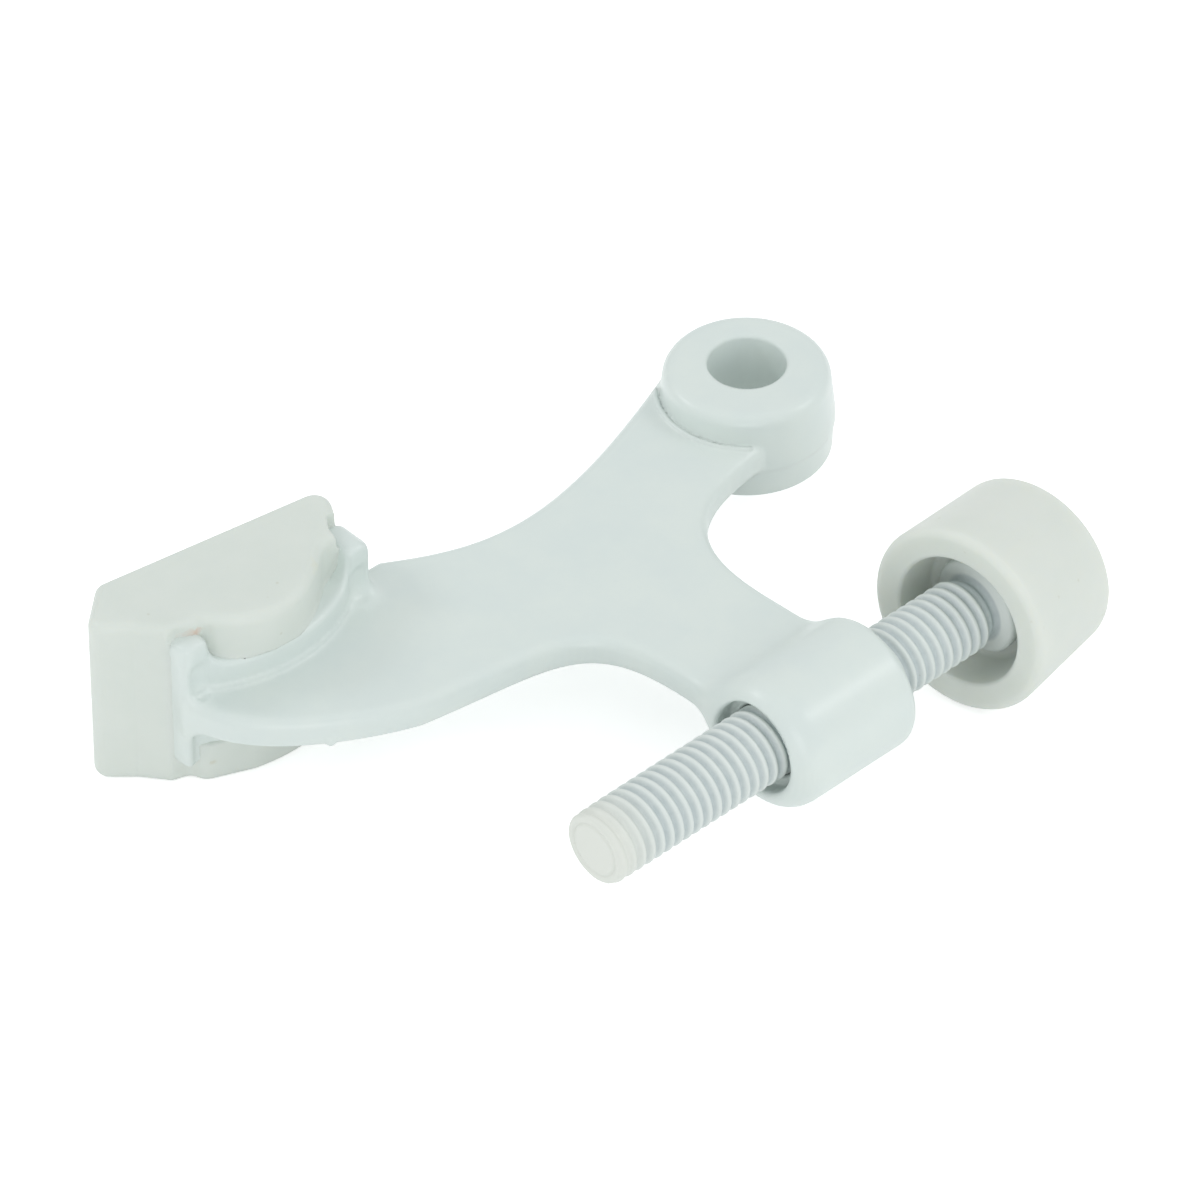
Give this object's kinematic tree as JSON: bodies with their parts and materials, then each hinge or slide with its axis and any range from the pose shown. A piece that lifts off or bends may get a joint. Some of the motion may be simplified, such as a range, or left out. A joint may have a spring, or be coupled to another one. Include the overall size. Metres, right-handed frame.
{
  "type": "hinge pin door stop",
  "caption": "Cast door stop that drops over a hinge pin, with a soft wall pad on one arm and a screw-adjusted soft bumper on the other.",
  "frame": {"origin": "on the hinge pin's axis, half way up the bracket's eye", "axes": "+Z along the hinge pin, +X along the screw rod from its tip to its cap, +Y from the rod towards the wall pad's face"},
  "size_m": [0.0874, 0.0644, 0.0205],
  "materials": {
    "white_enamel": "glossy white enamel on a zinc casting",
    "screw_enamel": "satin white enamel over a steel thread",
    "cap_rubber": "satin white rubber",
    "pad_rubber": "satin white rubber"
  },
  "bodies": {
    "casting": {"bracket": "white_enamel", "wall_pad": "pad_rubber"},
    "bumper": {"bumper_cap": "cap_rubber"},
    "screw": {"adjusting_rod": "screw_enamel"}
  },
  "joints": [
    {"name": "bumper_advance", "type": "slide", "parent": "casting", "child": "bumper", "axis": [1, 0, 0], "range_m": [-0.0082, 0.0213]},
    {"name": "rod_turn", "type": "hinge", "parent": "bumper", "child": "screw", "pos_m": [0, -0.0386, 0], "axis": [1, 0, 0], "range_deg": [-2325, 6038]}
  ],
  "couplings": [
    {"joint": "rod_turn", "follows": "bumper_advance", "rad_per_m": 4947.4}
  ]
}
